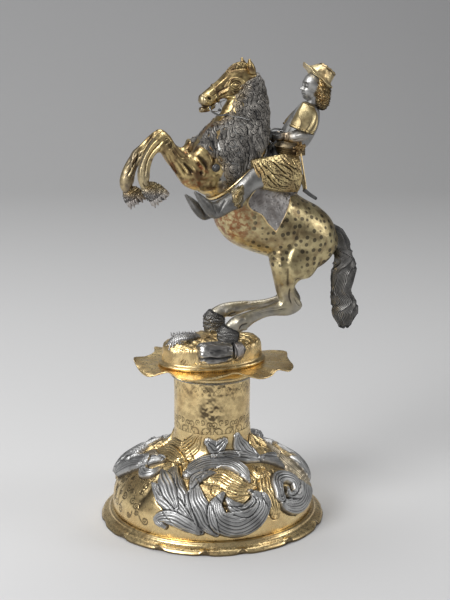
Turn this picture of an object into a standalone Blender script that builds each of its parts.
"""Standing cup of parcel-gilt silver: a rearing horse and rider on a grassy mound, a stem and a domed foot.

The horse's barrel is the vessel. Its neck, head and forelegs lift off together as the cover.
All sizes below are real sizes in millimetres. X runs from nose to tail, Y to the far side, Z up.
"""
import math

import bmesh
import bpy
from mathutils import Vector

MM = 0.001

# Clearances between neighbouring pieces
GAP = 0.3

# Place of the foot's axis in the object's own frame, so that the whole object is centred on the origin
FOOT_AXIS_X = -14.6

# Foot
FOOT_RADIUS = 83.0
FLANGE_WIDTH = 9.5
FLANGE_HEIGHT = 8.0
FLANGE_WALL = 2.0
FLANGE_SCALLOPS = 15
SCALLOP_DEPTH = 1.7
DOME_HEIGHT = 42.0
DOME_WALL = 1.4
DOME_SIDES = 96
DOME_ROWS = 17
LEAF_FADE = 5.0

# Leaves chased on the dome, each made again half a turn on. A leaf is the places along its middle, as
# degrees from the front of the foot and height up the sheet, with its half widths from root to tip and how
# far it stands out.
DOME_FRONT = -105.0
DOME_LEAVES = [
    ([(-30, 60), (-44, 64), (-60, 65), (-78, 60), (-90, 50)], (2, 5, 7, 6, 3), 2),
    ([(74, 76), (72, 67), (76, 58), (92, 48)], (3, 8, 8, 1), 2.2),
    ([(47, 50), (43, 40), (39, 28), (38, 14)], (3, 8, 9, 4), 2),
    ([(-4, 47), (8, 49), (16, 42), (21, 37), (31, 36)], (4, 10, 9, 6, 1), 3.2),
    ([(2, 36), (9, 31), (16, 29), (25, 31)], (3, 6, 5, 1), 2.4),
    ([(40, 82), (44, 75), (52, 67), (60, 56)], (3, 8.5, 6.5, 1), 2.2),
    ([(2, 68), (18, 70), (34, 67), (57, 56)], (2, 4, 4.5, 1), 2.4),
    ([(-22, 51), (-17, 58), (-2, 64), (14, 63), (26, 54), (28, 41)], (4, 7.5, 7, 6.5, 6, 1), 4),
    ([(-14, 38), (-13, 46), (-8, 50), (3, 52)], (2, 4.5, 4.5, 1), 3),
    ([(2, 6), (-3, 14), (-8, 24), (-11, 33), (-12, 45)], (2.5, 7, 8.5, 6, 1), 4),
    ([(-8, 7), (-17, 19), (-25, 30), (-32, 42), (-37, 55)], (2.5, 7.5, 11, 9, 1.5), 4.4),
    ([(-12, 14), (-24, 24), (-34, 30), (-44, 35)], (3, 6.5, 6.5, 1), 4),
    ([(-20, 22), (-31, 36), (-40, 44), (-46, 48)], (2, 5.5, 5.5, 1), 4.4),
    ([(-6, 7), (-17, 13), (-25, 15), (-31, 12), (-27, 8)], (2, 5, 5.5, 4.5, 2), 3.8),
    ([(7, 33), (2, 25), (4, 15), (13, 11.5), (23, 14), (30, 21), (30, 28), (24, 33)],
     (1.5, 5.5, 8, 9, 8.5, 7, 5, 1), 4.4),
    ([(9, 29), (13, 23), (19, 20.5), (25, 25), (26, 31)], (1.5, 4.5, 5, 4, 1), 3.4),
    ([(58, 58), (73, 47), (78, 33), (71, 20), (58, 14), (47, 17), (44, 26)],
     (2, 8, 9.5, 9, 7.5, 6, 2), 4.2),
    ([(44, 24), (48, 34), (57, 36), (63, 29), (59, 21), (52, 23), (54, 28)],
     (4, 5, 5.5, 5, 4.5, 3, 1), 3.8),
    ([(120, 57), (108, 47), (98, 37), (90, 27), (82, 20)], (3, 7, 8.5, 7, 1), 4),
    ([(-74, 56), (-90, 51), (-103, 42), (-106, 30), (-100, 14)], (2.5, 6, 8, 7, 1), 2.2),
    ([(-68, 42), (-59, 40), (-52, 43), (-51, 50)], (2, 4.5, 4, 1), 2.6),
]

# Stem
STEM_RADIUS = 27.8
STEM_LENGTH = 58.5
STEM_WALL = 1.5
STEM_FLARE = 3.0
WASHER_OVERHANG = 3.2
WASHER_THICKNESS = 1.6

# Collar under the mound
COLLAR_HALF_LENGTH = 59.0
COLLAR_HALF_WIDTH = 42.0
COLLAR_SHEET = 1.7
COLLAR_BOSS_HEIGHT = 4.6
COLLAR_LOBES = 8
COLLAR_LOBE_DEPTH = 7.0
COLLAR_LOBE_TURN = 160.0
COLLAR_WAVE = 2.6
COLLAR_LIFT = 1.6

# Mound
MOUND_HALF_LENGTH = 38.5
MOUND_HALF_WIDTH = 25.5
MOUND_HEIGHT = 16.5
MOUND_CROWN = 4.0
MOUND_WALL = 2.2
MOUND_BEAD = 2.0

# Tie rod and its nut
ROD_RADIUS = 2.5
ROD_TAIL = 4.0
ROD_THREAD_DEPTH = 7.0
BOSS_WALL = 3.2
CLAMP_RADIUS = 18.0
CLAMP_THICKNESS = 2.0
NUT_RADIUS = 6.5
NUT_HEIGHT = 5.0

# Hoof screws
SCREW_RADIUS = 1.5
SCREW_HEAD_RADIUS = 3.0
SCREW_HEAD_HEIGHT = 2.0
SCREW_HEAD_DROP = 1.6
SCREW_REACH = 5.0

# Vessel: rim of the horse's barrel, measured on its slanted plane
RIM_X = 18.5
RIM_RISE = 123.5
RIM_TILT = 42.4
RIM_HALF_HEIGHT = 27.0
RIM_HALF_WIDTH = 22.0
RIM_STRAIGHT = 7.0
CUP_WALL = 1.3
BARREL_LENGTH = 95.5
LIP_WIDTH = 6.4
LIP_THICKNESS = 1.0

# Cover
NECK_WALL = 1.3
BEZEL_DEPTH = 5.5
BEZEL_RISE = 2.6
BEZEL_WALL = 1.0
COVER_RIM_WIDTH = 2.0
COVER_RIM_THICKNESS = 1.2
BOSS_RADIUS = 2.8
MANE_WAVE = 1.2

# Legs: distance of each pair from the middle plane
FORELEG_SPREAD = 14.0
HIND_LEG_SPREAD = 15.0

# Saddle and its cloth
CLOTH_THICKNESS = 1.2
SADDLE_HALF_WIDTH = 13.0

# Rider: place of the rim's top that the saddle and rider are laid out from, and legs' distance from the rim
RIDER_DATUM_X = 38.438
RIDER_DATUM_RISE = 141.706
LEG_STANDOFF = 6.5
FAR_BOOT_STANDOFF = 1.8
SASH_THICKNESS = 1.8
HAT_BRIM_RADIUS = 13.0
HAT_BRIM_THICKNESS = 1.3
HAT_CROWN_RADIUS = 7.6
HAT_CROWN_HEIGHT = 10.0
HAT_WALL = 1.2

# Surface fineness
TURNED_SIDES = 36
MOUND_SIDES = 28
BODY_SIDES = 22
LIMB_SIDES = 12
SMALL_SIDES = 8
ROUND_CAP_RINGS = 1

# Heights that follow from the stack of pieces on the foot
DOME_BASE_Z = FLANGE_HEIGHT + GAP
DOME_TOP_Z = DOME_BASE_Z + DOME_HEIGHT
STEM_BASE_Z = DOME_TOP_Z + GAP
STEM_TOP_Z = STEM_BASE_Z + STEM_LENGTH
WASHER_BASE_Z = STEM_TOP_Z + GAP
COLLAR_BASE_Z = WASHER_BASE_Z + WASHER_THICKNESS + GAP
COLLAR_TOP_Z = COLLAR_BASE_Z + COLLAR_BOSS_HEIGHT + COLLAR_SHEET
MOUND_BASE_Z = COLLAR_TOP_Z + GAP
MOUND_TOP_Z = MOUND_BASE_Z + MOUND_HEIGHT

# The rider's legs hang at the vessel's sides
RIDER_LEG_SPREAD = RIM_HALF_WIDTH + LEG_STANDOFF

GILT = ((0.72, 0.50, 0.20), 0.30)
GILT_WORN = ((0.55, 0.38, 0.18), 0.38)
SILVER = ((0.62, 0.61, 0.58), 0.32)
SILVER_DARK = ((0.30, 0.28, 0.25), 0.42)
STEEL = ((0.45, 0.45, 0.46), 0.40)


def new_material(name, finish):
    """One metal finish for one piece."""
    colour, roughness = finish
    material = bpy.data.materials.new(name + "_finish")
    material.use_nodes = True
    shader = material.node_tree.nodes["Principled BSDF"]
    shader.inputs["Base Color"].default_value = (*colour, 1.0)
    shader.inputs["Metallic"].default_value = 1.0
    shader.inputs["Roughness"].default_value = roughness
    return material


def new_empty(name, parent, location, rotation=(0.0, 0.0, 0.0)):
    """An empty that places a group of pieces, with its location in millimetres."""
    empty = bpy.data.objects.new(name, None)
    bpy.context.collection.objects.link(empty)
    empty.parent = parent
    empty.location = Vector(location) * MM
    empty.rotation_euler = rotation
    return empty


def object_from_rings(name, rings, parent, finish, first_pole=None, last_pole=None, hollow=False):
    """Closed body through rings of points: poles close its ends, or a hollow one joins last ring to first."""
    mesh = bpy.data.meshes.new(name)
    body = bmesh.new()
    loops = [[body.verts.new(Vector(point) * MM) for point in ring] for ring in rings]
    count = len(loops[0])
    pairs = list(zip(loops, loops[1:]))
    if hollow:
        pairs.append((loops[-1], loops[0]))
    for lower, upper in pairs:
        for i in range(count):
            j = (i + 1) % count
            body.faces.new((lower[i], lower[j], upper[j], upper[i]))
    if not hollow:
        close_end(body, loops[0], first_pole)
        close_end(body, loops[-1], last_pole)
    bmesh.ops.recalc_face_normals(body, faces=body.faces)
    bmesh.ops.triangulate(body, faces=[face for face in body.faces if len(face.verts) > 4])
    body.to_mesh(mesh)
    body.free()
    mesh.shade_smooth()
    mesh.set_sharp_from_angle(angle=math.radians(40.0))
    piece = bpy.data.objects.new(name, mesh)
    bpy.context.collection.objects.link(piece)
    piece.parent = parent
    if finish is not None:
        mesh.materials.append(new_material(name, finish))
    return piece


def close_end(body, loop, pole):
    """Close an open ring of a body with a fan to a pole, or with one flat face."""
    if pole is None:
        body.faces.new(loop)
        return
    tip = body.verts.new(Vector(pole) * MM)
    for i, corner in enumerate(loop):
        body.faces.new((corner, loop[(i + 1) % len(loop)], tip))


def turned(name, profile, parent, finish, sides=TURNED_SIDES, shape=None):
    """Ring-shaped body turned about Z from a closed profile of radius and height pairs."""
    def place(radius, height, angle):
        if shape is not None:
            return shape(radius, height, angle)
        return (radius * math.cos(angle), radius * math.sin(angle), height)
    angles = [2.0 * math.pi * i / sides for i in range(sides)]
    rings = [[place(r, z, angle) for angle in angles] for r, z in profile]
    return object_from_rings(name, rings, parent, finish, hollow=True)


def cylinder(name, radius, base, top, parent, finish, sides=16, centre=(0.0, 0.0), waist=None):
    """Solid round bar along Z, with an optional wider head at its base: waist is (radius, height)."""
    profile = [(radius, base), (radius, top)]
    if waist is not None:
        head_radius, head_height = waist
        profile = [(head_radius, base), (head_radius, base + head_height)]
        profile += [(radius, base + head_height), (radius, top)]
    angles = [2.0 * math.pi * i / sides for i in range(sides)]
    rings = [[(centre[0] + r * math.cos(a), centre[1] + r * math.sin(a), z) for a in angles]
             for r, z in profile]
    return object_from_rings(name, rings, parent, finish)


def smooth_stations(stations, steps):
    """Fill in stations between the given ones on a smooth curve that never overshoots them."""
    if steps < 2 or len(stations) < 3:
        return [tuple(float(value) for value in station) for station in stations]
    filled = []
    columns = list(zip(*stations))
    slopes = [column_slopes(column) for column in columns]
    for k in range(len(stations) - 1):
        for step in range(steps):
            t = step / steps
            filled.append(tuple(
                hermite(column[k], column[k + 1], slope[k], slope[k + 1], t)
                for column, slope in zip(columns, slopes)))
    filled.append(tuple(float(value) for value in stations[-1]))
    return filled


def column_slopes(column):
    """Slope at each value of a list, flat where the values turn back."""
    steps = [b - a for a, b in zip(column, column[1:])]
    slopes = [steps[0]]
    for before, after in zip(steps, steps[1:]):
        slopes.append(0.0 if before * after <= 0.0 else 2.0 * before * after / (before + after))
    slopes.append(steps[-1])
    return slopes


def hermite(a, b, slope_a, slope_b, t):
    """Cubic between two values with given end slopes."""
    t2 = t * t
    t3 = t2 * t
    return ((2 * t3 - 3 * t2 + 1) * a + (t3 - 2 * t2 + t) * slope_a
            + (3 * t2 - 2 * t3) * b + (t3 - t2) * slope_b)


def ladder_ring(rung, sides, grow=0.0):
    """Ring of points round one rung (ax, az, bx, bz, y, half_width), seen from the side as a line."""
    ax, az, bx, bz, y, half_width = rung
    centre = Vector(((ax + bx) / 2.0, y, (az + bz) / 2.0))
    reach = Vector(((bx - ax) / 2.0, 0.0, (bz - az) / 2.0))
    reach *= (reach.length + grow) / reach.length
    across = Vector((0.0, half_width + grow, 0.0))
    angles = [2.0 * math.pi * i / sides for i in range(sides)]
    return [centre + reach * math.cos(angle) + across * math.sin(angle) for angle in angles]


def ladder(name, rungs, parent, finish, sides=LIMB_SIDES, steps=2, caps=(2.0, 2.0), grow=0.0):
    """Round-ended limb through rungs drawn from the side; caps are how far its two ends bulge."""
    rungs = smooth_stations(rungs, steps)
    rings = [ladder_ring(rung, sides, grow) for rung in rungs]
    poles = []
    for end, bulge in ((0, caps[0]), (-1, caps[1])):
        rung = rungs[end]
        inward = rungs[1] if end == 0 else rungs[-2]
        centre = rung_centre(rung)
        reach = Vector((rung[2] - rung[0], 0.0, rung[3] - rung[1])).normalized()
        outward = Vector((-reach.z, 0.0, reach.x))
        if outward.dot(centre - rung_centre(inward)) < 0.0:
            outward.negate()
        extra = []
        for k in range(1, ROUND_CAP_RINGS + 1):
            turn = 0.5 * math.pi * k / (ROUND_CAP_RINGS + 1)
            shift = outward * (bulge + grow) * math.sin(turn)
            base = ladder_ring(rung, sides, grow)
            extra.append([centre + (point - centre) * math.cos(turn) + shift for point in base])
        poles.append(centre + outward * (bulge + grow))
        rings = extra[::-1] + rings if end == 0 else rings + extra
    return object_from_rings(name, rings, parent, finish, poles[0], poles[1])


def rung_centre(rung):
    """Middle of a rung."""
    return Vector(((rung[0] + rung[2]) / 2.0, rung[4], (rung[1] + rung[3]) / 2.0))


def mirrored(rungs, side):
    """The same rungs on the near side (side -1) or the far side (side +1) of the middle plane."""
    return [(ax, az, bx, bz, side * y, half_width) for ax, az, bx, bz, y, half_width in rungs]


def shifted(rungs, moves):
    """Rungs moved in the side view by one (dx, dz) each."""
    moved = []
    for (ax, az, bx, bz, y, half_width), (dx, dz) in zip(rungs, moves):
        moved.append((ax + dx, az + dz, bx + dx, bz + dz, y, half_width))
    return moved


def as_cutter(piece):
    """Hide a helper shape that only cuts or joins others."""
    piece.hide_render = True
    piece.display_type = "WIRE"
    return piece


def combine(target, helper, operation):
    """Boolean one helper shape into a piece."""
    modifier = target.modifiers.new(operation.title() + "_" + helper.name, "BOOLEAN")
    modifier.operation = operation
    modifier.solver = "EXACT"
    modifier.object = helper


def carve(target, *cutters):
    """Cut a piece back from its neighbours."""
    for cutter in cutters:
        combine(target, cutter, "DIFFERENCE")


def clear_scene():
    """Remove whatever the file holds."""
    for item in list(bpy.data.objects):
        bpy.data.objects.remove(item, do_unlink=True)


# Foot, stem and collar

def make_foot_flange(root):
    """Cast rim of the foot: flat resting ring, scalloped edge and a ledge that carries the dome."""
    ledge = FOOT_RADIUS - FLANGE_WIDTH
    profile = [
        (FOOT_RADIUS - 5.0, 0.0),
        (FOOT_RADIUS - 1.0, 0.0),
        (FOOT_RADIUS, 1.0),
        (FOOT_RADIUS, 2.8),
        (FOOT_RADIUS - 2.6, 4.6),
        (ledge + 3.6, FLANGE_HEIGHT - 0.4),
        (ledge + 1.6, FLANGE_HEIGHT),
        (ledge - 1.6, FLANGE_HEIGHT),
        (ledge - 1.6, FLANGE_HEIGHT - FLANGE_WALL),
        (ledge + 2.6, FLANGE_HEIGHT - FLANGE_WALL - 0.6),
        (FOOT_RADIUS - 5.0, 2.4),
    ]

    def scalloped(radius, height, angle):
        weight = min(1.0, max(0.0, (radius - ledge - 2.0) / (FLANGE_WIDTH - 2.0)))
        dip = 1.0 - abs(math.cos(0.5 * FLANGE_SCALLOPS * angle))
        radius = radius - SCALLOP_DEPTH * weight * dip
        return (radius * math.cos(angle), radius * math.sin(angle), height)

    turned("foot_flange", profile, root, GILT, sides=4 * FLANGE_SCALLOPS, shape=scalloped)


def dome_outline():
    """Outer side of the dome from its skirt to the hole for the tie rod."""
    skirt = FOOT_RADIUS - FLANGE_WIDTH + 0.8
    seat = STEM_RADIUS + STEM_FLARE
    return [
        (skirt, DOME_BASE_Z),
        (skirt - 0.2, DOME_BASE_Z + 0.12 * DOME_HEIGHT),
        (skirt - 1.5, DOME_BASE_Z + 0.33 * DOME_HEIGHT),
        (skirt - 4.8, DOME_BASE_Z + 0.52 * DOME_HEIGHT),
        (skirt - 9.3, DOME_BASE_Z + 0.68 * DOME_HEIGHT),
        (skirt - 16.3, DOME_BASE_Z + 0.81 * DOME_HEIGHT),
        (skirt - 25.3, DOME_BASE_Z + 0.89 * DOME_HEIGHT),
        (seat + 6.5, DOME_BASE_Z + 0.94 * DOME_HEIGHT),
        (seat + 0.6, DOME_TOP_Z),
        (ROD_RADIUS + GAP, DOME_TOP_Z),
    ]


def leaf_rungs():
    """Leaves as close rungs of angle in radians, height up the sheet and half width, with their lift."""
    leaves = []
    for middle, widths, lift in DOME_LEAVES:
        stations = [(turn, rise, width) for (turn, rise), width in zip(middle, widths)]
        for half_turn in (0.0, 180.0):
            rungs = smooth_stations(stations, 3)
            turned = [(math.radians(turn + half_turn), rise, width) for turn, rise, width in rungs]
            leaves.append((turned, lift))
    return leaves


def leaf_relief(leaves, angle, rise, radius):
    """How far the leaves stand out from the sheet at one place on it."""
    relief = 0.0
    for rungs, lift in leaves:
        share = 2.0
        for (a1, r1, w1), (a2, r2, w2) in zip(rungs, rungs[1:]):
            away = ((angle - a1 + math.pi) % (2.0 * math.pi) - math.pi) * radius
            step = ((a2 - a1) * radius, r2 - r1)
            along = (away * step[0] + (rise - r1) * step[1]) / (step[0] ** 2 + step[1] ** 2)
            along = min(max(along, 0.0), 1.0)
            gap = math.hypot(away - along * step[0], rise - r1 - along * step[1])
            share = min(share, gap / (w1 + (w2 - w1) * along))
        if share < 1.0:
            relief = max(relief, min(relief, 0.4 * lift) + lift * (1.0 - share ** 4))
    return relief


def sheet_rows(profile, rows):
    """Evenly spaced rows up a profile: radius, height, distance up the sheet and the way outwards."""
    steps = [math.hypot(b[0] - a[0], b[1] - a[1]) for a, b in zip(profile, profile[1:])]
    total = sum(steps)
    places = []
    for row in range(rows + 1):
        rise = left = total * row / rows
        k = 0
        while k < len(steps) - 1 and left > steps[k]:
            left -= steps[k]
            k += 1
        (r1, z1), (r2, z2) = profile[k], profile[k + 1]
        places.append((r1 + (r2 - r1) * left / steps[k], z1 + (z2 - z1) * left / steps[k], rise,
                       ((z2 - z1) / steps[k], (r1 - r2) / steps[k])))
    return places, total


def make_foot_dome(root):
    """Raised shell of the foot with its leaves, open below, with a hole in its flat top for the tie rod."""
    outline = dome_outline()
    rows, total = sheet_rows(outline[:-1], DOME_ROWS)
    leaves = leaf_rungs()
    angles = [2.0 * math.pi * side / DOME_SIDES for side in range(DOME_SIDES)]
    rings = []
    for radius, height, rise, (out, up) in rows:
        fade = min(1.0, rise / LEAF_FADE, (total - rise) / LEAF_FADE)
        ring = []
        for angle in angles:
            relief = fade * leaf_relief(leaves, angle - math.radians(DOME_FRONT), rise, radius)
            reach = radius + relief * out
            ring.append((reach * math.cos(angle), reach * math.sin(angle), height + relief * up))
        rings.append(ring)
    inner = []
    for radius, height in outline[2:-1:2]:
        depth = max(height - DOME_WALL, DOME_BASE_Z + DOME_WALL)
        inner.append((radius - DOME_WALL * 1.15, depth))
    inner = [(outline[0][0] - DOME_WALL, DOME_BASE_Z)] + inner + [(ROD_RADIUS + GAP, DOME_TOP_Z - DOME_WALL)]
    for radius, height in [outline[-1]] + inner[::-1]:
        rings.append([(radius * math.cos(angle), radius * math.sin(angle), height) for angle in angles])
    object_from_rings("foot_dome", rings, root, GILT, hollow=True)


def make_stem(root):
    """Plain tube of the stem, flared at its base and closed by a top plate with a rod hole."""
    bore = STEM_RADIUS - STEM_WALL
    hole = ROD_RADIUS + GAP
    profile = [
        (STEM_RADIUS + STEM_FLARE, STEM_BASE_Z),
        (STEM_RADIUS + STEM_FLARE, STEM_BASE_Z + 1.2),
        (STEM_RADIUS + 0.8, STEM_BASE_Z + 3.4),
        (STEM_RADIUS, STEM_BASE_Z + 6.0),
        (STEM_RADIUS, STEM_TOP_Z),
        (hole, STEM_TOP_Z),
        (hole, STEM_TOP_Z - STEM_WALL),
        (bore, STEM_TOP_Z - STEM_WALL),
        (bore, STEM_BASE_Z),
    ]
    turned("stem_tube", profile, root, GILT)


def make_stem_washer(root):
    """Silver ring between the stem and the collar."""
    edge = STEM_RADIUS + WASHER_OVERHANG
    hole = ROD_RADIUS + GAP
    profile = [
        (hole, WASHER_BASE_Z),
        (edge - 0.5, WASHER_BASE_Z),
        (edge, WASHER_BASE_Z + 0.5 * WASHER_THICKNESS),
        (edge - 0.5, WASHER_BASE_Z + WASHER_THICKNESS),
        (hole, WASHER_BASE_Z + WASHER_THICKNESS),
    ]
    turned("stem_washer", profile, root, SILVER)


def make_collar(root):
    """Wavy lobed sheet round a flat boss that seats on the stem."""
    boss = STEM_RADIUS + WASHER_OVERHANG + 1.0
    sheet_base = COLLAR_TOP_Z - COLLAR_SHEET
    profile = [
        (ROD_RADIUS + GAP, COLLAR_BASE_Z),
        (boss, COLLAR_BASE_Z),
        (boss + 2.0, COLLAR_BASE_Z + 2.0),
        (boss + 3.4, sheet_base),
        (boss + 6.0, sheet_base),
        (boss + 16.0, sheet_base),
        (COLLAR_HALF_LENGTH, sheet_base + 0.3),
        (COLLAR_HALF_LENGTH, COLLAR_TOP_Z - 0.3),
        (boss + 16.0, COLLAR_TOP_Z),
        (boss + 6.0, COLLAR_TOP_Z),
        (ROD_RADIUS + GAP, COLLAR_TOP_Z),
    ]
    sheet_start = boss + 3.4

    def lobed(radius, height, angle):
        share = max(0.0, (radius - sheet_start) / (COLLAR_HALF_LENGTH - sheet_start))
        phase = COLLAR_LOBES * angle + math.radians(COLLAR_LOBE_TURN)
        edge = 1.0 / math.hypot(math.cos(angle) / COLLAR_HALF_LENGTH, math.sin(angle) / COLLAR_HALF_WIDTH)
        edge -= COLLAR_LOBE_DEPTH * (1.0 - abs(math.cos(0.5 * phase)))
        if share > 0.0:
            radius = sheet_start + share * (edge - sheet_start)
        height += share * share * (COLLAR_LIFT - COLLAR_WAVE * math.cos(phase))
        return (radius * math.cos(angle), radius * math.sin(angle), height)

    turned("collar", profile, root, GILT, sides=6 * COLLAR_LOBES, shape=lobed)


# Mound with its small creatures

def mound_top(fraction, angle):
    """Height of the crowned mound above its rim, a little higher at the far side."""
    return MOUND_CROWN * (1.0 - fraction * fraction) + fraction * math.sin(angle)


def mound_profile(inset):
    """Profile of the mound as (fraction of its half sizes, height), moved inwards by inset."""
    share = 1.0 - inset / MOUND_HALF_WIDTH
    top = MOUND_HEIGHT - inset
    return [
        (0.955 * share, MOUND_BEAD + 1.0),
        (0.94 * share, 0.6 * MOUND_HEIGHT),
        (0.92 * share, top - 2.0),
        (0.86 * share, top - 0.4),
        (0.70 * share, top),
        (0.40 * share, top),
    ]


def mound_point(fraction, height, angle):
    """Point on the mound's oval, lifted by its crown near the top."""
    crown = 0.0
    if height > MOUND_HEIGHT - MOUND_WALL - 0.5:
        crown = mound_top(fraction, angle)
    return (MOUND_HALF_LENGTH * fraction * math.cos(angle), MOUND_HALF_WIDTH * fraction * math.sin(angle),
            MOUND_BASE_Z + height + crown)


def mound_solid(name, root, grow):
    """Solid copy of the mound's outside, grown all round, for cutting what stands on it."""
    rings = []
    angles = [2.0 * math.pi * i / MOUND_SIDES for i in range(MOUND_SIDES)]
    for fraction, height in [(1.0, -grow)] + mound_profile(-grow):
        rings.append([mound_point(fraction, height, angle) for angle in angles])
    pole = (0.0, 0.0, MOUND_TOP_Z + MOUND_CROWN + grow)
    return as_cutter(object_from_rings(name, rings, root, None, None, pole))


def make_mound(root, screw_places):
    """Cast grassy mound, hollow below, with a bead round its foot and a tapped boss for the tie rod."""
    outer = [(1.0, 0.0), (1.0 + 0.02, 0.5 * MOUND_BEAD), (1.0, MOUND_BEAD)] + mound_profile(0.0)
    inner = [(0.90, 0.0)] + mound_profile(MOUND_WALL)
    angles = [2.0 * math.pi * i / MOUND_SIDES for i in range(MOUND_SIDES)]
    outer_rings = [[mound_point(f, z, a) for a in angles] for f, z in outer]
    inner_rings = [[mound_point(f, z, a) for a in angles] for f, z in inner]
    mesh_rings = inner_rings[::-1] + outer_rings
    mound = object_from_rings(
        "mound", mesh_rings, root, GILT,
        (0.0, 0.0, MOUND_TOP_Z + MOUND_CROWN - MOUND_WALL), (0.0, 0.0, MOUND_TOP_Z + MOUND_CROWN))
    boss_base = MOUND_TOP_Z - ROD_THREAD_DEPTH - 1.0
    boss_top = MOUND_TOP_Z + MOUND_CROWN - 0.5 * MOUND_WALL
    boss = as_cutter(cylinder("mound_boss", ROD_RADIUS + BOSS_WALL, boss_base, boss_top, root, None))
    combine(mound, boss, "UNION")
    tap = as_cutter(cylinder("mound_tap", ROD_RADIUS + GAP, boss_base - 1.0, MOUND_TOP_Z - 1.0, root, None))
    carve(mound, tap)
    for side, (x, y) in screw_places.items():
        hole = cylinder("mound_hole_" + side, SCREW_RADIUS + GAP, MOUND_TOP_Z - 4.0,
                        MOUND_TOP_Z + MOUND_CROWN + 2.0, root, None, centre=(x, y))
        carve(mound, as_cutter(hole))


def make_mound_trimmings(root, mound_cutter):
    """Lizard on the top, and a cut log with a leaf at its end across the front."""
    frame = new_empty("mound_frame", root, (0.0, 0.0, MOUND_TOP_Z))
    lizard_rungs = [
        (-34.0, -2.0, -33.0, 3.5, -3.0, 2.0),
        (-29.0, -1.0, -29.0, 7.0, -5.0, 4.0),
        (-22.0, 0.0, -22.0, 8.2, -5.0, 5.0),
        (-15.5, 0.5, -15.5, 8.0, -3.5, 3.6),
        (-10.5, 1.0, -10.5, 7.2, -2.0, 2.8),
    ]
    lizard = ladder("lizard", lizard_rungs, frame, SILVER_DARK, caps=(3.0, 1.5))
    log_rungs = [
        (-15.0, -10.0, -15.0, 4.6, -22.5, 7.0),
        (-3.0, -10.6, -3.0, 4.8, -23.5, 7.4),
        (7.6, -10.0, 7.6, 4.6, -22.5, 7.0),
    ]
    log = ladder("log", log_rungs, frame, SILVER_DARK, steps=1, caps=(0.8, 0.8))
    leaf_rungs = [
        (9.6, -9.0, 9.6, 3.0, -22.0, 6.0),
        (14.0, -12.0, 14.0, 3.4, -21.5, 5.6),
        (18.2, -12.0, 18.2, 0.0, -20.0, 4.6),
    ]
    leaf = ladder("log_leaf", leaf_rungs, frame, SILVER, steps=2, caps=(0.6, 1.0))
    for piece in (lizard, log, leaf):
        carve(piece, mound_cutter)
    return log, leaf


# Tie rod and fasteners

def make_tie_rod(root):
    """Rod that draws foot, stem, collar and mound together, with a washer and nut under the dome."""
    under_dome = DOME_TOP_Z - DOME_WALL - GAP
    clamp_base = under_dome - CLAMP_THICKNESS
    nut_base = clamp_base - GAP - NUT_HEIGHT
    cylinder("tie_rod", ROD_RADIUS, nut_base - ROD_TAIL, MOUND_TOP_Z - 1.0 - GAP, root, STEEL)
    hole = ROD_RADIUS + GAP
    turned("clamp_washer", [(hole, clamp_base), (CLAMP_RADIUS, clamp_base), (CLAMP_RADIUS, under_dome),
                            (hole, under_dome)], root, STEEL, sides=32)
    corner = hole / math.cos(math.radians(30.0))
    turned("foot_nut", [(corner, nut_base), (NUT_RADIUS, nut_base), (NUT_RADIUS, nut_base + NUT_HEIGHT),
                        (corner, nut_base + NUT_HEIGHT)], root, STEEL, sides=6)


def make_hoof_screws(root, screw_places):
    """Screws that hold the hind hooves down, their heads inside the mound."""
    for side, (x, y) in screw_places.items():
        fraction = math.hypot(x / MOUND_HALF_LENGTH, y / MOUND_HALF_WIDTH)
        top = MOUND_TOP_Z + mound_top(fraction, math.atan2(y / MOUND_HALF_WIDTH, x / MOUND_HALF_LENGTH))
        head_base = top - MOUND_WALL - SCREW_HEAD_HEIGHT - SCREW_HEAD_DROP
        cylinder("hoof_screw_" + side, SCREW_RADIUS, head_base, top + SCREW_REACH, root, STEEL, sides=12,
                 centre=(x, y), waist=(SCREW_HEAD_RADIUS, SCREW_HEAD_HEIGHT))


# Vessel

def barrel_stations():
    """Sections of the vessel below its rim: height along its normal, offset, half height, half width."""
    return [
        (0.0, 0.0, RIM_HALF_HEIGHT, RIM_HALF_WIDTH),
        (-RIM_STRAIGHT, 0.0, RIM_HALF_HEIGHT, RIM_HALF_WIDTH),
        (-11.5, -4.6, RIM_HALF_HEIGHT + 1.6, RIM_HALF_WIDTH + 1.4),
        (-20.0, -8.0, RIM_HALF_HEIGHT + 2.4, RIM_HALF_WIDTH + 2.4),
        (-34.0, -9.2, RIM_HALF_HEIGHT + 1.8, RIM_HALF_WIDTH + 2.6),
        (-49.0, -5.2, RIM_HALF_HEIGHT + 0.2, RIM_HALF_WIDTH + 2.6),
        (-63.0, 0.4, RIM_HALF_HEIGHT - 1.2, RIM_HALF_WIDTH + 2.8),
        (-76.0, 2.5, RIM_HALF_HEIGHT - 2.8, RIM_HALF_WIDTH + 1.2),
        (-86.0, 3.2, RIM_HALF_HEIGHT - 7.5, RIM_HALF_WIDTH - 3.0),
    ]


def barrel_rings(inset, sides):
    """Rings of the barrel from its mouth to its rump, moved inwards by inset, and the rump's pole."""
    stations = barrel_stations()
    angles = [2.0 * math.pi * i / sides for i in range(sides)]
    rings = []
    for height, offset, half_height, half_width in stations:
        along, across = half_height - inset, half_width - inset
        rings.append([(offset + along * math.cos(a), across * math.sin(a), height) for a in angles])
    height, offset, half_height, half_width = stations[-1]
    bulge = BARREL_LENGTH + height - inset
    for k in (1, 2, 3):
        turn = 0.125 * math.pi * k
        rings.append([(offset + (half_height - inset) * math.cos(turn) * math.cos(a),
                       (half_width - inset) * math.cos(turn) * math.sin(a),
                       height - bulge * math.sin(turn)) for a in angles])
    return rings, (offset, 0.0, height - bulge)


def barrel_solid(name, frame, grow):
    """Solid copy of the barrel's outside, grown all round and past its mouth, for cutting its neighbours."""
    rings, pole = barrel_rings(-grow, BODY_SIDES)
    top = [(x, y, grow) for x, y, _ in rings[0]]
    return as_cutter(object_from_rings(name, [top] + rings[1:], frame, None, None, pole))


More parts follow.
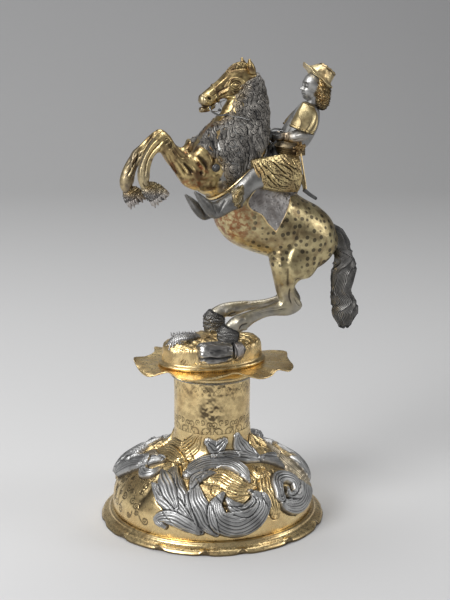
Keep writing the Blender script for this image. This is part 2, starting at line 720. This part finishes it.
def make_horse_body(frame):
    """The horse's barrel: a raised silver vessel, open at its slanted rim."""
    outer, outer_pole = barrel_rings(0.0, BODY_SIDES)
    inner, inner_pole = barrel_rings(CUP_WALL, BODY_SIDES)
    return object_from_rings("horse_body", outer[::-1] + inner, frame, GILT_WORN, outer_pole, inner_pole)


def oval_band(name, frame, finish, base, top, outer, inner):
    """Straight oval ring between two heights on the rim's axis; outer and inner are offsets from the rim."""
    def oval(offset, height):
        angles = [2.0 * math.pi * i / BODY_SIDES for i in range(BODY_SIDES)]
        return [((RIM_HALF_HEIGHT + offset) * math.cos(a), (RIM_HALF_WIDTH + offset) * math.sin(a), height)
                for a in angles]
    bevel = 0.3
    rings = [oval(inner, base), oval(outer - bevel, base), oval(outer, base + bevel),
             oval(outer, top - bevel), oval(outer - bevel, top), oval(inner, top)]
    return object_from_rings(name, rings, frame, finish, hollow=True)


def rim_rung(height, offset, slide=0.0):
    """Rung of the neck that lies parallel to the rim, so that the cover always meets it."""
    tilt = math.radians(RIM_TILT)
    along = Vector((math.cos(tilt), math.sin(tilt)))
    normal = Vector((-math.sin(tilt), math.cos(tilt)))
    centre = Vector((RIM_X, RIM_RISE)) + normal * height + along * slide
    front = centre - along * (RIM_HALF_HEIGHT + offset)
    back = centre + along * (RIM_HALF_HEIGHT + offset)
    return (front.x, front.y, back.x, back.y, 0.0, RIM_HALF_WIDTH + offset)


# Cover: neck, head and forelegs

def neck_rungs():
    """Chest and neck from the rim to the poll."""
    return [
        rim_rung(GAP, 0.0),
        rim_rung(GAP + COVER_RIM_WIDTH + 0.6, 0.0),
        (-10.5, 111.0, 37.0, 149.5, 0.0, 23.4),
        (-15.0, 118.0, 36.5, 155.0, 0.0, 23.6),
        (-16.0, 130.0, 36.0, 161.0, 0.0, 22.0),
        (-12.5, 143.0, 36.5, 165.0, 0.0, 18.5),
        (-5.0, 154.0, 37.0, 168.0, 0.0, 14.5),
        (3.0, 162.0, 37.0, 172.0, 0.0, 11.5),
        (10.0, 170.0, 36.0, 177.0, 0.0, 9.6),
        (15.0, 178.0, 34.0, 184.0, 0.0, 8.2),
        (19.0, 184.0, 31.0, 190.0, 0.0, 6.6),
    ]


def inset_rung(rung, inset):
    """A rung drawn in by the wall on all sides."""
    ax, az, bx, bz, y, half_width = rung
    reach = Vector((bx - ax, bz - az)).normalized() * inset
    return (ax + reach.x, az + reach.y, bx - reach.x, bz - reach.y, y, half_width - inset)


def make_neck(horse):
    """Hollow neck and chest, open at the rim."""
    rungs = neck_rungs()
    outer = [ladder_ring(rung, BODY_SIDES) for rung in rungs]
    last = rungs[-1]
    outer_pole = rung_centre(last) + Vector((-0.8, 0.0, 1.6))
    hollow_rungs = [inset_rung(rung, NECK_WALL) for rung in rungs[:8]]
    inner = [ladder_ring(rung, BODY_SIDES) for rung in hollow_rungs]
    inner_pole = rung_centre(hollow_rungs[-1]) + Vector((0.8, 0.0, 2.0))
    return object_from_rings("neck_shell", inner[::-1] + outer, horse, GILT, inner_pole, outer_pole)


def neck_solid(name, horse, grow):
    """Solid copy of the neck, grown all round, for cutting what is fixed to it."""
    rungs = neck_rungs()
    rings = [ladder_ring(rung, BODY_SIDES, grow) for rung in rungs]
    pole = rung_centre(rungs[-1]) + Vector((-0.8, 0.0, 1.6 + grow))
    return as_cutter(object_from_rings(name, rings, horse, None, None, pole))


def head_rungs():
    """The horse's head from the back of the jaw to the lips: forehead line, then jaw line."""
    return [
        (28.0, 198.5, 31.0, 185.0, 0.0, 5.5),
        (21.0, 199.5, 26.0, 179.5, 0.0, 8.0),
        (14.0, 197.8, 21.0, 177.5, 0.0, 8.4),
        (8.0, 193.0, 13.0, 175.6, 0.0, 7.2),
        (1.0, 186.5, 5.5, 173.0, 0.0, 5.8),
        (-6.0, 180.3, -1.0, 168.4, 0.0, 5.4),
        (-9.0, 175.5, -5.0, 166.3, 0.0, 4.8),
    ]


def make_head(horse, neck_cutter):
    """Head, ears and forelock, soldered to the top of the neck."""
    head = ladder("horse_head", head_rungs(), horse, GILT_WORN, sides=14, steps=1, caps=(2.5, 2.0))
    carve(head, neck_cutter)
    head_cutter = as_cutter(ladder("head_cutter", head_rungs(), horse, None, sides=14, steps=1,
                                   caps=(2.5, 2.0), grow=GAP))
    for side, name in ((-1.0, "ear_near"), (1.0, "ear_far")):
        ear_rungs = [
            (21.0, 196.0, 27.0, 195.0, side * 5.0, 2.4),
            (22.0, 200.0, 27.0, 199.0, side * 5.2, 2.3),
            (24.0, 203.2, 26.6, 202.7, side * 5.2, 1.2),
        ]
        ear = ladder(name, ear_rungs, horse, GILT, sides=SMALL_SIDES, caps=(0.5, 2.0))
        carve(ear, head_cutter, neck_cutter)
    forelock_rungs = [
        (12.5, 193.0, 12.5, 198.0, 0.0, 1.8),
        (16.5, 194.0, 16.0, 201.0, 0.0, 2.6),
        (20.0, 194.0, 20.0, 202.4, 0.0, 2.2),
    ]
    forelock = ladder("forelock", forelock_rungs, horse, SILVER_DARK, sides=SMALL_SIDES, caps=(1.5, 1.0))
    carve(forelock, head_cutter)
    return head_cutter


def make_mane(horse, neck_cutter, head_cutter):
    """Heavy curled mane that wraps the back and sides of the neck, in waves across its length."""
    tilted = rim_rung(GAP + COVER_RIM_WIDTH + 1.4, 2.0, slide=3.0)
    mane_rungs = [
        (9.0, tilted[1] + 16.5, tilted[2], tilted[3], 0.0, 25.2),
        (9.0, 129.0, 41.0, 157.0, 0.0, 25.8),
        (10.0, 142.0, 42.0, 165.0, 0.0, 22.4),
        (12.0, 156.0, 42.0, 171.5, 0.0, 17.0),
        (16.0, 168.0, 40.6, 180.0, 0.0, 13.0),
        (20.0, 178.5, 37.6, 188.0, 0.0, 10.8),
        (23.0, 188.0, 33.5, 194.0, 0.0, 8.4),
    ]
    waved = []
    for k, rung in enumerate(smooth_stations(mane_rungs, 2)):
        wave = -MANE_WAVE if k % 2 else 0.0
        waved.append(rung[:5] + (rung[5] + wave,))
    mane = ladder("mane", waved, horse, SILVER_DARK, sides=20, steps=1, caps=(0.8, 2.2))
    carve(mane, neck_cutter, head_cutter)


def foreleg_rungs():
    """Raised foreleg: forearm, knee, cannon and pastern, outer edge then inner edge."""
    spread = FORELEG_SPREAD
    return [
        (-9.0, 146.0, -7.0, 118.0, spread - 3.0, 7.5),
        (-21.0, 141.5, -18.0, 116.5, spread - 1.0, 7.6),
        (-30.0, 149.5, -28.5, 124.5, spread, 6.8),
        (-37.5, 155.5, -35.0, 136.5, spread, 6.0),
        (-43.5, 152.0, -38.5, 141.0, spread, 5.2),
        (-50.5, 144.5, -44.0, 138.5, spread, 4.0),
        (-56.5, 135.0, -48.0, 132.0, spread, 4.0),
        (-59.0, 128.0, -48.5, 127.0, spread, 4.8),
        (-55.5, 120.6, -48.5, 123.0, spread, 4.0),
    ]


def fore_hoof_rungs():
    """Hoof of the raised foreleg from its top to its sole."""
    spread = FORELEG_SPREAD
    return [
        (-52.6, 119.4, -45.4, 122.4, spread, 4.2),
        (-50.8, 113.0, -39.6, 118.2, spread, 5.2),
        (-46.6, 108.4, -35.8, 111.8, spread, 5.8),
    ]


def make_forelegs(horse, neck_cutter):
    """Two raised forelegs with separate hooves; the far one hangs a little straighter and lower."""
    still = [(0.0, 0.0)] * 9
    straighter = [(2.0, 0.0), (4.0, -1.0), (4.0, -2.0), (4.0, -3.0), (3.5, -3.5),
                  (2.0, -4.5), (-1.0, -5.0), (-3.5, -7.0), (-5.0, -8.0)]
    hoof_moves = {"near": [(0.0, 0.0)] * 3, "far": [(-6.6, -8.2), (-8.0, -8.2), (-9.4, -6.8)]}
    for side, name, leg_moves in ((-1.0, "near", still), (1.0, "far", straighter)):
        rungs = shifted(mirrored(foreleg_rungs(), side), leg_moves)
        leg = ladder("foreleg_" + name, rungs, horse, GILT_WORN, caps=(2.0, 1.2))
        carve(leg, neck_cutter)
        leg_cutter = as_cutter(ladder("foreleg_cutter_" + name, rungs, horse, None, caps=(2.0, 1.2),
                                      grow=GAP))
        hoof_rungs = shifted(mirrored(fore_hoof_rungs(), side), hoof_moves[name])
        hoof = ladder("fore_hoof_" + name, hoof_rungs, horse, SILVER_DARK, steps=2, caps=(0.4, 0.6))
        carve(hoof, leg_cutter)


def make_bridle(horse, head_cutter, neck_cutter):
    """Noseband round the muzzle and the long curb shank with its rein rod."""
    band_rungs = [(2.2, 187.6, 6.4, 173.6, 0.0, 6.2), (0.4, 185.8, 4.8, 172.8, 0.0, 6.0)]
    noseband = ladder("noseband", band_rungs, horse, SILVER, sides=18, steps=1, caps=(0.3, 0.3), grow=1.0)
    carve(noseband, head_cutter)
    shank_rungs = [
        (-0.6, 176.0, 0.8, 176.0, -7.0, 0.7),
        (1.6, 171.6, 3.0, 172.2, -7.6, 0.7),
        (5.4, 168.4, 6.0, 169.6, -8.0, 0.7),
        (10.0, 168.6, 9.6, 170.0, -8.0, 0.7),
    ]
    shank = ladder("bit_shank", shank_rungs, horse, SILVER_DARK, sides=8, caps=(0.6, 0.6))
    carve(shank, head_cutter, neck_cutter)
    rein_rungs = [
        (10.6, 167.2, 11.6, 168.0, -8.6, 0.6),
        (9.6, 163.0, 10.8, 163.0, -11.6, 0.6),
        (11.0, 158.4, 12.2, 158.8, -15.8, 0.6),
        (14.6, 154.2, 15.6, 155.0, -19.2, 0.6),
    ]
    rein = ladder("rein_rod", rein_rungs, horse, SILVER_DARK, sides=8, caps=(0.4, 0.4))
    carve(rein, neck_cutter)


def make_breast_bosses(horse, neck_cutter):
    """Round studs of the breast strap, one on each shoulder."""
    for side, name in ((-1.0, "breast_boss_near"), (1.0, "breast_boss_far")):
        rungs = [
            (-2.5 - BOSS_RADIUS, 126.0, -2.5 + BOSS_RADIUS, 126.0, side * 22.0, 3.0),
            (-2.5 - BOSS_RADIUS, 126.0 + BOSS_RADIUS, -2.5 + BOSS_RADIUS, 126.0 + BOSS_RADIUS,
             side * 22.0, 3.0),
        ]
        boss = ladder(name, rungs, horse, SILVER, sides=12, steps=1, caps=(1.6, 1.6))
        carve(boss, neck_cutter)


# Hind legs and tail

def hind_leg_rungs():
    """Thigh, gaskin, hock, cannon and pastern: front edge then back edge."""
    spread = HIND_LEG_SPREAD
    return [
        (42.0, 74.0, 80.0, 62.0, spread - 4.0, 12.5),
        (39.0, 61.5, 69.0, 48.0, spread - 1.0, 12.0),
        (40.5, 53.0, 61.5, 46.0, spread, 9.6),
        (42.0, 45.0, 58.4, 41.0, spread, 7.6),
        (44.0, 37.0, 59.0, 35.0, spread, 6.2),
        (45.5, 31.0, 64.5, 25.0, spread, 5.6),
        (42.0, 29.2, 53.0, 18.4, spread, 5.0),
        (33.0, 26.5, 38.0, 19.4, spread, 4.0),
        (22.0, 23.6, 28.0, 16.0, spread, 4.0),
        (12.0, 20.6, 21.0, 11.4, spread, 4.8),
        (5.6, 15.4, 14.4, 9.6, spread, 4.2),
    ]


def hind_hoof_rungs():
    """Hind hoof from its top to below the ground, where the mound cuts it."""
    spread = HIND_LEG_SPREAD
    return [
        (2.2, 13.4, 14.6, 9.2, spread, 4.8),
        (0.8, 7.0, 15.2, 5.0, spread, 5.6),
        (0.4, -1.0, 14.8, -1.0, spread, 6.2),
    ]


def make_hind_legs(horse, body_cutter, mound_cutter, root, screw_places):
    """Two bent hind legs; the far hock lies further back and its hoof a little forward and higher."""
    hoof_cutters = []
    still = [(0.0, 0.0)] * 11
    further_back = [(2.0, 0.0), (6.0, 0.0), (8.0, -1.0), (9.0, -2.0), (9.0, -3.0), (8.5, -4.0),
                    (8.0, -4.0), (6.0, -3.0), (3.0, 0.0), (0.0, 2.0), (-2.4, 3.4)]
    for side, name, moves in ((-1.0, "near", still), (1.0, "far", further_back)):
        lift = 1.0 if name == "far" else 0.0
        rungs = shifted(mirrored(hind_leg_rungs(), side), moves)
        leg = ladder("hind_leg_" + name, rungs, horse, SILVER_DARK, sides=12, steps=1, caps=(4.0, 1.0))
        carve(leg, body_cutter)
        leg_cutter = as_cutter(ladder("hind_leg_cutter_" + name, rungs, horse, None, sides=12,
                                      steps=1, caps=(4.0, 1.0), grow=GAP))
        hoof_moves = [(-2.4 * lift, 3.4 * lift), (-2.4 * lift, 2.4 * lift), (-2.4 * lift, 0.0)]
        hoof_rungs = shifted(mirrored(hind_hoof_rungs(), side), hoof_moves)
        hoof = ladder("hind_hoof_" + name, hoof_rungs, horse, SILVER_DARK, caps=(0.4, 0.6))
        x, y = screw_places[name]
        socket = cylinder("hoof_socket_" + name, SCREW_RADIUS + GAP, MOUND_TOP_Z - 4.0,
                          MOUND_TOP_Z + MOUND_CROWN + SCREW_REACH, root, None, sides=12,
                          centre=(x, y))
        carve(hoof, leg_cutter, mound_cutter, as_cutter(socket))
        hoof_cutters.append(as_cutter(ladder("hind_hoof_cutter_" + name, hoof_rungs, horse, None,
                                             caps=(0.4, 0.6), grow=GAP)))
    return hoof_cutters


def make_tail(horse, body_cutter):
    """Long wavy tail that hangs from the croup."""
    rungs = [
        (86.0, 73.0, 93.0, 80.0, 0.0, 4.0),
        (93.4, 66.0, 103.0, 68.5, 0.0, 6.0),
        (93.8, 54.0, 107.8, 57.0, 0.0, 7.0),
        (92.0, 43.0, 109.4, 45.0, 0.0, 7.4),
        (91.6, 31.0, 107.2, 32.0, 0.0, 7.2),
        (92.6, 19.0, 111.4, 19.6, 0.0, 7.0),
        (95.0, 8.4, 111.0, 10.4, 0.0, 6.0),
        (99.0, 2.6, 107.0, 3.4, 0.0, 4.0),
    ]
    tail = ladder("tail", rungs, horse, SILVER_DARK, sides=16, caps=(2.0, 1.0))
    carve(tail, body_cutter)


# Saddle and rider

def make_saddle(rider, frame, body_cutter, lip_cutter):
    """Saddle cloth wrapped over the back, the saddle on it and its upright pommel plate."""
    outer = barrel_solid("cloth_outside", frame, GAP + CLOTH_THICKNESS)
    outline = [(19.0, 107.0), (41.0, 87.0), (56.0, 104.0), (68.0, 121.0), (50.0, 148.0), (32.0, 121.0)]
    rings = [[(x, y, z) for x, z in outline] for y in (-34.0, 34.0)]
    cloth = object_from_rings("saddle_cloth", rings, rider, SILVER_DARK)
    combine(cloth, outer, "INTERSECT")
    carve(cloth, body_cutter, lip_cutter)
    over_cloth = barrel_solid("over_cloth", frame, 2.0 * GAP + CLOTH_THICKNESS)
    saddle_rungs = [
        (36.5, 128.0, 45.5, 143.0, 0.0, 0.75 * SADDLE_HALF_WIDTH),
        (42.0, 120.0, 50.5, 134.0, 0.0, SADDLE_HALF_WIDTH),
        (50.0, 110.0, 58.0, 123.0, 0.0, SADDLE_HALF_WIDTH),
        (55.0, 104.0, 68.0, 119.0, 0.0, 0.85 * SADDLE_HALF_WIDTH),
    ]
    saddle = ladder("saddle", saddle_rungs, rider, SILVER_DARK, sides=18, caps=(1.6, 1.6))
    carve(saddle, over_cloth)
    saddle_cutter = as_cutter(ladder("saddle_cutter", saddle_rungs, rider, None, sides=18,
                                     caps=(1.6, 1.6), grow=GAP))
    plate_rungs = [
        (42.4, 130.0, 46.0, 130.0, 0.0, 5.0),
        (41.6, 138.0, 44.4, 138.0, 0.0, 6.0),
        (41.4, 145.0, 43.4, 145.0, 0.0, 5.0),
    ]
    plate = ladder("pommel_plate", plate_rungs, rider, SILVER, sides=12, caps=(0.4, 1.0))
    carve(plate, saddle_cutter, over_cloth)
    return over_cloth, saddle_cutter


def torso_rungs():
    """The rider's coat from waist to neck."""
    return [
        (45.0, 133.0, 63.0, 129.0, 0.0, 8.6),
        (45.0, 139.0, 68.0, 137.0, 0.0, 8.8),
        (49.5, 148.0, 75.0, 145.0, 0.0, 9.8),
        (56.0, 157.5, 79.0, 156.0, 0.0, 10.8),
        (62.0, 165.5, 79.0, 165.0, 0.0, 9.4),
        (67.0, 170.4, 76.6, 170.0, 0.0, 4.6),
    ]


def make_rider_body(rider, saddle_cutter, over_cloth):
    """Coat, sash, breeches and sleeves of the rider."""
    torso = ladder("coat", torso_rungs(), rider, SILVER, sides=18, caps=(1.0, 1.2))
    carve(torso, saddle_cutter)
    torso_cutter = as_cutter(ladder("coat_cutter", torso_rungs(), rider, None, sides=18,
                                    caps=(1.0, 1.2), grow=GAP))
    sash_rungs = [(44.6, 136.6, 66.4, 134.2, 0.0, 8.9), (45.2, 140.8, 69.4, 138.6, 0.0, 9.1)]
    sash = ladder("sash", sash_rungs, rider, GILT, sides=18, steps=1, caps=(0.3, 0.3), grow=SASH_THICKNESS)
    carve(sash, torso_cutter, saddle_cutter, over_cloth)
    sash_cutter = as_cutter(ladder("sash_cutter", sash_rungs, rider, None, sides=18, steps=1,
                                   caps=(0.3, 0.3), grow=SASH_THICKNESS + GAP))
    seat_rungs = [
        (42.0, 122.0, 43.5, 136.0, 0.0, RIDER_LEG_SPREAD - 18.5),
        (50.0, 120.0, 51.5, 136.0, 0.0, RIDER_LEG_SPREAD - 16.5),
        (58.0, 118.0, 60.5, 132.0, 0.0, RIDER_LEG_SPREAD - 18.5),
    ]
    breeches = ladder("breeches", seat_rungs, rider, GILT, sides=14, steps=1, caps=(3.0, 1.5))
    thigh_rungs = [
        (57.4, 112.0, 57.8, 134.0, RIDER_LEG_SPREAD - 11.0, 9.0),
        (48.0, 111.0, 47.0, 136.5, RIDER_LEG_SPREAD - 9.0, 10.0),
        (36.0, 113.5, 34.5, 134.8, RIDER_LEG_SPREAD - 6.0, 9.0),
        (29.5, 118.5, 25.8, 133.0, RIDER_LEG_SPREAD - 3.6, 6.6),
    ]
    for side, name in ((-1.0, "thigh_near"), (1.0, "thigh_far")):
        thigh = ladder(name, mirrored(thigh_rungs, side), rider, None, sides=14, steps=1, caps=(1.5, 1.0))
        combine(breeches, as_cutter(thigh), "UNION")
    carve(breeches, over_cloth, saddle_cutter, torso_cutter, sash_cutter)
    breeches_cutters = []
    for side, name in ((-1.0, "thigh_cutter_near"), (1.0, "thigh_cutter_far")):
        cutter = ladder(name, mirrored(thigh_rungs, side), rider, None, sides=14, steps=1, caps=(1.5, 1.0),
                        grow=GAP)
        breeches_cutters.append(as_cutter(cutter))
    return torso_cutter, sash_cutter, breeches_cutters


def sleeve_rungs():
    """Bell-shaped sleeve from shoulder to elbow."""
    return [
        (63.0, 171.0, 73.0, 167.0, 10.5, 4.2),
        (58.0, 164.0, 73.0, 158.0, 14.6, 6.6),
        (54.0, 156.6, 70.6, 149.8, 17.0, 7.6),
    ]


def make_arms(rider, torso_cutter, sash_cutter):
    """Sleeves, forearms and hands on the reins; the far arm is drawn further back and lower."""
    still = [(0.0, 0.0)] * 4
    drawn_back = [(2.0, -4.0), (-2.5, -4.0), (-1.6, -2.4), (-2.4, -2.4)]
    lowered = [(6.0, -4.0)] * 3
    for side, name, moves, sleeve_moves in ((-1.0, "near", still, still), (1.0, "far", drawn_back, lowered)):
        rungs = shifted(mirrored(sleeve_rungs(), side), sleeve_moves)
        sleeve = ladder("sleeve_" + name, rungs, rider, GILT, caps=(1.6, 0.8))
        carve(sleeve, torso_cutter)
        sleeve_cutter = as_cutter(ladder("sleeve_cutter_" + name, rungs, rider, None, caps=(1.6, 0.8),
                                         grow=GAP))
        forearm_rungs = shifted(mirrored([
            (66.0, 148.4, 66.0, 154.6, 16.6, 4.0),
            (57.0, 145.2, 58.0, 152.8, 14.4, 4.4),
            (50.0, 145.0, 50.6, 151.0, 9.6, 3.2),
            (46.8, 145.4, 46.8, 151.6, 6.4, 3.0),
        ], side), moves)
        forearm = ladder("forearm_" + name, forearm_rungs, rider, SILVER, caps=(1.0, 1.4))
        carve(forearm, sleeve_cutter, torso_cutter, sash_cutter)


def make_rider_legs(rider, breeches_cutters, over_cloth):
    """Stockinged legs, lace cuffs and boots; the far leg hangs lower and further out."""
    for side, name, drop in ((-1.0, "near", 0.0), (1.0, "far", 1.0)):
        spread = RIDER_LEG_SPREAD + FAR_BOOT_STANDOFF * drop
        leg_rungs = mirrored([
            (29.0, 118.0, 24.0, 131.0, RIDER_LEG_SPREAD, 5.2),
            (19.6, 109.4, 12.6, 120.4, 0.5 * (RIDER_LEG_SPREAD + spread), 4.6),
            (12.6, 103.4, 5.6, 114.2, spread, 4.2),
        ], side)
        leg_moves = [(0.0, 0.0), (2.0 * drop, -5.0 * drop), (4.0 * drop, -9.0 * drop)]
        leg_rungs = shifted(leg_rungs, leg_moves)
        boot_rungs = mirrored([
            (12.6, 103.0, 5.4, 114.8, spread, 4.6),
            (3.4, 96.6, -1.6, 108.8, spread, 4.6),
            (-6.4, 95.6, -6.0, 107.0, spread, 4.4),
            (-12.8, 102.2, -9.8, 110.8, spread, 4.2),
            (-19.8, 113.8, -14.6, 116.4, spread, 3.4),
        ], side)
        boot_rungs = shifted(boot_rungs, [(5.0 * drop, -9.5 * drop)] + [(8.0 * drop, -14.0 * drop)] * 4)
        cuff_rungs = mirrored([
            (21.4, 106.8, 12.0, 121.8, spread, 7.5),
            (15.6, 103.6, 7.2, 119.0, spread, 6.9),
        ], side)
        cuff_rungs = shifted(cuff_rungs, [(2.4 * drop, -5.6 * drop), (3.4 * drop, -7.2 * drop)])
        leg = ladder("leg_" + name, leg_rungs, rider, SILVER, caps=(1.0, 0.6))
        carve(leg, over_cloth, *breeches_cutters)
        leg_cutter = as_cutter(ladder("leg_cutter_" + name, leg_rungs, rider, None, caps=(1.0, 0.6),
                                      grow=GAP))
        boot = ladder("boot_" + name, boot_rungs, rider, SILVER_DARK, caps=(0.4, 1.6))
        carve(boot, leg_cutter, over_cloth)
        boot_cutter = as_cutter(ladder("boot_cutter_" + name, boot_rungs, rider, None, caps=(0.4, 1.6),
                                       grow=GAP))
        cuff = ladder("cuff_" + name, cuff_rungs, rider, GILT, caps=(0.8, 0.8))
        carve(cuff, leg_cutter, boot_cutter, over_cloth, *breeches_cutters)


def make_rider_head(rider, torso_cutter):
    """Head with neck, curled hair and a brimmed hat tilted back."""
    head_rungs_side = [
        (68.6, 172.4, 75.4, 170.6, 0.0, 3.2),
        (68.8, 175.4, 77.0, 172.8, 0.0, 4.2),
        (67.4, 180.8, 81.0, 176.6, 0.0, 6.0),
        (69.4, 187.6, 84.0, 182.6, 0.0, 6.6),
        (74.6, 192.2, 85.4, 187.4, 0.0, 5.4),
    ]
    head = ladder("rider_head", head_rungs_side, rider, SILVER, sides=16, caps=(0.6, 2.0))
    carve(head, torso_cutter)
    head_cutter = as_cutter(ladder("rider_head_cutter", head_rungs_side, rider, None, sides=16,
                                   caps=(0.6, 2.0), grow=GAP))
    tilt = new_empty("hat_frame", rider, (78.4, 0.0, 188.6), (0.0, math.radians(44.0), 0.0))
    bore = HAT_CROWN_RADIUS - HAT_WALL
    brim_top = HAT_BRIM_THICKNESS
    profile = [
        (bore, 0.0),
        (HAT_BRIM_RADIUS - 0.6, 0.0),
        (HAT_BRIM_RADIUS, 0.5 * brim_top),
        (HAT_BRIM_RADIUS - 0.6, brim_top),
        (HAT_CROWN_RADIUS + 1.2, brim_top + 0.4),
        (HAT_CROWN_RADIUS, brim_top + 1.6),
        (HAT_CROWN_RADIUS - 0.6, HAT_CROWN_HEIGHT - 1.0),
        (HAT_CROWN_RADIUS - 1.6, HAT_CROWN_HEIGHT),
    ]
    sides = 20
    angles = [2.0 * math.pi * i / sides for i in range(sides)]
    ceiling = HAT_CROWN_HEIGHT - HAT_WALL
    inside = [(bore, 0.0), (bore - 0.5, ceiling - 1.0), (bore - 1.6, ceiling)]
    path = inside[::-1] + profile[1:]
    rings = [[(r * math.cos(a), r * math.sin(a), z) for a in angles] for r, z in path]
    hat = object_from_rings("hat", rings, tilt, GILT, (0.0, 0.0, HAT_CROWN_HEIGHT - HAT_WALL),
                            (0.0, 0.0, HAT_CROWN_HEIGHT))
    carve(hat, head_cutter)
    hat_solid = [(HAT_BRIM_RADIUS + GAP, -GAP), (HAT_BRIM_RADIUS + GAP, brim_top + GAP),
                 (HAT_CROWN_RADIUS + GAP, HAT_CROWN_HEIGHT + GAP)]
    solid_rings = [[(r * math.cos(a), r * math.sin(a), z) for a in angles] for r, z in hat_solid]
    hat_cutter = as_cutter(object_from_rings("hat_cutter", solid_rings, tilt, None))
    hair_rungs = [
        (77.0, 189.0, 86.0, 184.0, 0.0, 7.8),
        (76.0, 181.0, 89.0, 176.0, 0.0, 8.6),
        (75.6, 174.0, 87.0, 170.4, 0.0, 8.0),
        (76.8, 169.4, 83.4, 166.6, 0.0, 5.4),
    ]
    hair = ladder("hair", hair_rungs, rider, GILT_WORN, sides=18, caps=(1.0, 1.0))
    carve(hair, head_cutter, hat_cutter, torso_cutter)


def make_rider_extras(rider, torso_cutter, sash_cutter, body_cutter, over_cloth, breeches_cutters):
    """Sheathed sword behind the thigh and the rein strap held before the chest."""
    sword_rungs = [
        (59.8, 137.4, 62.4, 136.8, -11.8, 1.4),
        (60.6, 123.0, 63.2, 122.6, -15.6, 1.4),
        (62.2, 112.6, 64.8, 113.2, -18.4, 1.4),
        (70.6, 104.4, 72.6, 106.4, -19.6, 1.2),
    ]
    sword = ladder("sword", sword_rungs, rider, SILVER, sides=SMALL_SIDES, caps=(1.0, 1.0))
    carve(sword, torso_cutter, sash_cutter, body_cutter, over_cloth, *breeches_cutters)
    strap_rungs = [
        (43.6, 151.0, 43.6, 152.4, 3.0, 1.6),
        (48.0, 151.8, 48.0, 153.2, 4.0, 1.6),
        (56.0, 150.2, 56.0, 151.6, 6.0, 1.6),
    ]
    strap = ladder("rein_strap", strap_rungs, rider, SILVER_DARK, sides=8, caps=(0.3, 0.3))
    carve(strap, torso_cutter)


def build():
    """Make the whole cup."""
    clear_scene()
    root = new_empty("cup_frame", None, (FOOT_AXIS_X, 0.0, 0.0))
    horse = new_empty("horse_frame", root, (0.0, 0.0, MOUND_TOP_Z))
    vessel = new_empty("vessel_frame", horse, (RIM_X, 0.0, RIM_RISE), (0.0, -math.radians(RIM_TILT), 0.0))
    screw_places = {"near": (7.8, -HIND_LEG_SPREAD), "far": (5.4, HIND_LEG_SPREAD)}

    make_foot_flange(root)
    make_foot_dome(root)
    make_stem(root)
    make_stem_washer(root)
    make_collar(root)
    make_mound(root, screw_places)
    mound_cutter = mound_solid("mound_cutter", root, GAP)
    log, leaf = make_mound_trimmings(root, mound_cutter)
    make_tie_rod(root)
    make_hoof_screws(root, screw_places)

    make_horse_body(vessel)
    body_cutter = barrel_solid("body_cutter", vessel, GAP)
    lip_edge = GAP + LIP_THICKNESS
    oval_band("lip_band", vessel, SILVER_DARK, -LIP_WIDTH, -GAP, lip_edge, GAP)
    lip_cutter = as_cutter(oval_band("lip_cutter", vessel, None, -LIP_WIDTH - GAP, LIP_WIDTH, lip_edge + GAP,
                                     -CUP_WALL))

    make_neck(horse)
    neck_cutter = neck_solid("neck_cutter", horse, GAP)
    oval_band("cover_rim", vessel, GILT, GAP, GAP + COVER_RIM_WIDTH, GAP + COVER_RIM_THICKNESS, GAP)
    bezel_outer = -max(CUP_WALL, NECK_WALL) - GAP
    oval_band("cover_bezel", vessel, SILVER, -BEZEL_DEPTH, BEZEL_RISE, bezel_outer, bezel_outer - BEZEL_WALL)
    head_cutter = make_head(horse, neck_cutter)
    make_mane(horse, neck_cutter, head_cutter)
    make_forelegs(horse, neck_cutter)
    make_bridle(horse, head_cutter, neck_cutter)
    make_breast_bosses(horse, neck_cutter)

    hoof_cutters = make_hind_legs(horse, body_cutter, mound_cutter, root, screw_places)
    carve(log, *hoof_cutters)
    carve(leaf, *hoof_cutters)
    make_tail(horse, body_cutter)

    tilt = math.radians(RIM_TILT)
    rider_x = RIM_X + RIM_HALF_HEIGHT * math.cos(tilt) - RIDER_DATUM_X
    rider_rise = RIM_RISE + RIM_HALF_HEIGHT * math.sin(tilt) - RIDER_DATUM_RISE
    rider = new_empty("rider_frame", horse, (rider_x, 0.0, rider_rise))
    over_cloth, saddle_cutter = make_saddle(rider, vessel, body_cutter, lip_cutter)
    torso_cutter, sash_cutter, breeches_cutters = make_rider_body(rider, saddle_cutter, over_cloth)
    make_arms(rider, torso_cutter, sash_cutter)
    make_rider_legs(rider, breeches_cutters, over_cloth)
    make_rider_head(rider, torso_cutter)
    make_rider_extras(rider, torso_cutter, sash_cutter, body_cutter, over_cloth, breeches_cutters)


build()
